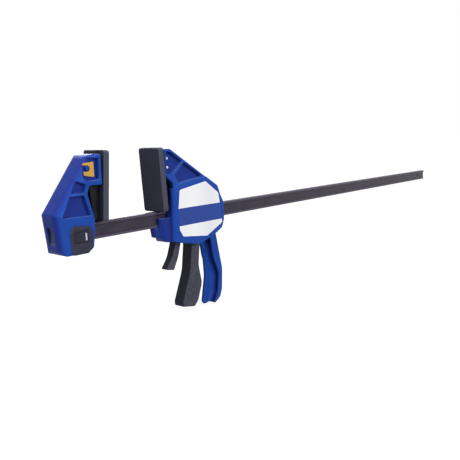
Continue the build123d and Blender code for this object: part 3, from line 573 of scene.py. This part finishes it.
def head_and_shank(length):
    """A screw that hangs down from its head's seat at the origin."""
    bpy.ops.object.select_all(action="DESELECT")
    bpy.ops.mesh.primitive_cylinder_add(vertices=HEAD_SIDES, radius=HEAD_RADIUS, depth=HEAD_HEIGHT,
                                        location=(0, 0, HEAD_HEIGHT / 2))
    screw = bpy.context.object
    settle(screw)
    bpy.ops.object.mode_set(mode="EDIT")
    pick_faces(screw, lambda centre, normal: normal.z > 0.9)
    bpy.ops.mesh.region_to_loop()
    bpy.ops.mesh.bevel(offset=RIM, segments=RIM_STEPS, affect="EDGES")
    pick_faces(screw, lambda centre, normal: normal.z < -0.9)
    bpy.ops.mesh.inset(thickness=HEAD_RADIUS - ROOT)
    push_out(length - TURNS * PITCH - 2 * POINT, 1.0)
    for _ in range(TURNS):
        push_out(0.4 * PITCH, CREST / ROOT)
        push_out(0.15 * PITCH, 1.0)
        push_out(0.4 * PITCH, ROOT / CREST)
        push_out(0.05 * PITCH, 1.0)
    push_out(POINT, 0.6)
    push_out(POINT, 0.3)
    bpy.ops.object.mode_set(mode="OBJECT")
    return screw


print("a screw's head is", round(2 * HEAD_RADIUS / MM, 1), "mm wide")

# %% [markdown]
# ## The driver's recess
#
# The recess is a six pointed star. A cylinder of twelve sides becomes one when every second corner is drawn
# in, and the Boolean modifier takes it out of the head. Then the screw is laid along Y, the way it is driven.


# %% Cut the recess
STAR_RADIUS, STAR_DEPTH, STAR_SIDES, DRAWN_IN = 1.9 * MM, 2.6 * MM, 12, 0.7
SHARP_FROM = radians(35)


def cut_recess(screw):
    bpy.ops.object.select_all(action="DESELECT")
    bpy.ops.mesh.primitive_cylinder_add(vertices=STAR_SIDES, radius=STAR_RADIUS, depth=STAR_DEPTH,
                                        location=(0, 0, HEAD_HEIGHT))
    star = bpy.context.object
    for number, vertex in enumerate(star.data.vertices):
        if (number // 2) % 2:
            vertex.co.x *= DRAWN_IN
            vertex.co.y *= DRAWN_IN
    activate(screw)
    recess = screw.modifiers.new("recess", "BOOLEAN")
    recess.operation, recess.solver, recess.object = "DIFFERENCE", "EXACT", star
    bpy.ops.object.modifier_apply(modifier=recess.name)
    bpy.data.objects.remove(star)
    screw.rotation_euler = (radians(-90), 0, 0)
    settle(screw)
    bpy.ops.object.shade_smooth_by_angle(angle=SHARP_FROM)


LONG, SHORT = 27.5 * MM, 16.5 * MM
LONG_SCREW, SHORT_SCREW = head_and_shank(LONG), head_and_shank(SHORT)
for screw in (LONG_SCREW, SHORT_SCREW):
    cut_recess(screw)
    print("screw:", len(screw.data.polygons), "faces,", round(screw.dimensions.y / MM, 1), "mm long")

# %% [markdown]
# ## Six screws in their places
#
# Four long ones sit deep in the housing and two short ones hold the grip, which is narrower, so their seats
# are nearer to the middle. Each place is given by its distance along the bar and its height above the bar's
# centre line, both in millimetres. Each copy gets a mesh of its own and rides on the sliding jaw.

# %% Place the screws
HOUSING_SEAT, GRIP_SEAT = 15.5 * MM, 7.5 * MM
SCREW_PLACES = (
    (LONG_SCREW, 141.0, HOUSING_SEAT, 31.0), (LONG_SCREW, 206.0, HOUSING_SEAT, 31.0),
    (LONG_SCREW, 212.0, HOUSING_SEAT, -21.0), (LONG_SCREW, 122.0, HOUSING_SEAT, -24.0),
    (SHORT_SCREW, 216.0, GRIP_SEAT, -58.0), (SHORT_SCREW, 227.5, GRIP_SEAT, -126.0),
)
for number, (pattern, x, seat, height) in enumerate(SCREW_PLACES, start=1):
    screw = pattern.copy()
    screw.data = pattern.data.copy()
    screw.name = f"jaw_screw_{number}"
    bpy.context.collection.objects.link(screw)
    screw.location = (x * MM, seat, BAR_Z + height * MM)
    settle(screw)
    screw.data.materials.append(BRIGHT_STEEL)
    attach(screw, "movable_jaw")
    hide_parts("jaw_screws")
bpy.data.objects.remove(LONG_SCREW)
bpy.data.objects.remove(SHORT_SCREW)
print("placed", len(SCREW_PLACES), "screws")

# %% [markdown]
# ## The floor
#
# The clamp stands in a white seamless studio. White paper could be lit until it burns out, but that light
# would also bounce onto the clamp and wash its colours out. So the floor is a grey paper, and only rays that
# come from the eye, a mirror-like metal or glass see it glow. It glows a little less near the clamp, where it
# still catches a soft shadow, and is fully white from three metres on, so that no horizon shows.

# %% Floor
FLOOR_SIZE, FLOOR_GAP, FLOOR_MIDDLE = 30.0, 0.5 * MM, 0.4
PAPER_GREY, NEAR_GLOW, WHITE_FROM = 0.22, 0.80, 3.0
bpy.ops.object.select_all(action="DESELECT")
bpy.ops.mesh.primitive_plane_add(size=FLOOR_SIZE, location=(FLOOR_MIDDLE, 0.0, cad_bounds[0][2] - FLOOR_GAP))
floor = bpy.context.object
floor.name = "studio_floor"
paper = Finish("studio_paper", (PAPER_GREY, PAPER_GREY, PAPER_GREY), 0.9, specular=0.0)
to_eye = paper.node("ShaderNodeLightPath", output="Is Camera Ray")
to_mirror = paper.node("ShaderNodeLightPath", output="Is Glossy Ray")
to_glass = paper.node("ShaderNodeLightPath", output="Is Transmission Ray")
paper.set("Emission Color", (1.0, 1.0, 1.0, 1.0))
from_clamp = paper.node("ShaderNodeVectorMath", {"operation": "LENGTH"}, {0: paper.place})
glow = ramp(paper, from_clamp / WHITE_FROM, (0.0, NEAR_GLOW), (1.0, 1.0))
paper.set("Emission Strength", (to_eye + to_mirror + to_glass) * glow)
floor.data.materials.append(paper.material)
print("floor at", round(floor.location.z, 4))

# %% [markdown]
# ## The world
#
# The world has two brightnesses. The eye sees plain white, directly or in a mirror-like metal, and everything
# else gets a dim sky, which keeps the shaded sides dark enough to show the form.

# %% World
SKY_STRENGTH, SKY_COLOR = 0.22, (0.95, 0.97, 1.0, 1.0)
world = bpy.data.worlds.new("studio")
bpy.context.scene.world = world
world.use_nodes = True
nodes, links = world.node_tree.nodes, world.node_tree.links
white = nodes["Background"]
white.inputs["Color"].default_value = (1.0, 1.0, 1.0, 1.0)
sky = nodes.new("ShaderNodeBackground")
sky.inputs["Color"].default_value = SKY_COLOR
sky.inputs["Strength"].default_value = SKY_STRENGTH
seen_by = nodes.new("ShaderNodeLightPath")
shown = sky.outputs["Background"]
for ray in ("Is Camera Ray", "Is Glossy Ray", "Is Transmission Ray"):
    either = nodes.new("ShaderNodeMixShader")
    links.new(seen_by.outputs[ray], either.inputs["Fac"])
    links.new(shown, either.inputs[1])
    links.new(white.outputs["Background"], either.inputs[2])
    shown = either.outputs["Shader"]
links.new(shown, nodes["World Output"].inputs["Surface"])
print("sky strength", SKY_STRENGTH)

# %% [markdown]
# ## The lamps
#
# Four soft boxes light the clamp. The key stands in front, so the side that carries the label is bright and
# the ends fall into shade. The top one draws the light edges along the ledges and the sloping back, a weak
# one from the left keeps the shaded ends from going black, and one behind does that for the far side.


# %% Lamps
def softbox(name, place, target, size, power):
    """A square lamp, its size in metres and its power in watts, turned to a target."""
    bpy.ops.object.select_all(action="DESELECT")
    bpy.ops.object.light_add(type="AREA", location=place)
    lamp = bpy.context.object
    lamp.name = name
    lamp.data.shape, lamp.data.size, lamp.data.energy = "SQUARE", size, power
    lamp.rotation_euler = (Vector(target) - Vector(place)).to_track_quat("-Z", "Y").to_euler()


softbox("key_light", place=(0.35, -2.2, 0.75), target=(0.05, 0.0, -0.05), size=1.0, power=42.0)
softbox("top_light", place=(-0.38, -0.16, 1.52), target=(0.05, 0.0, 0.0), size=1.0, power=25.0)
softbox("fill_light", place=(-1.6, -0.5, 0.45), target=(0.1, 0.0, 0.0), size=0.8, power=12.0)
softbox("back_light", place=(1.2, 1.9, 0.7), target=(0.1, 0.0, -0.05), size=1.0, power=24.0)

# %% [markdown]
# ## The view transform
#
# The plain view transform keeps the colours as they are written.

# %% View transform
bpy.context.scene.view_settings.view_transform = "Standard"
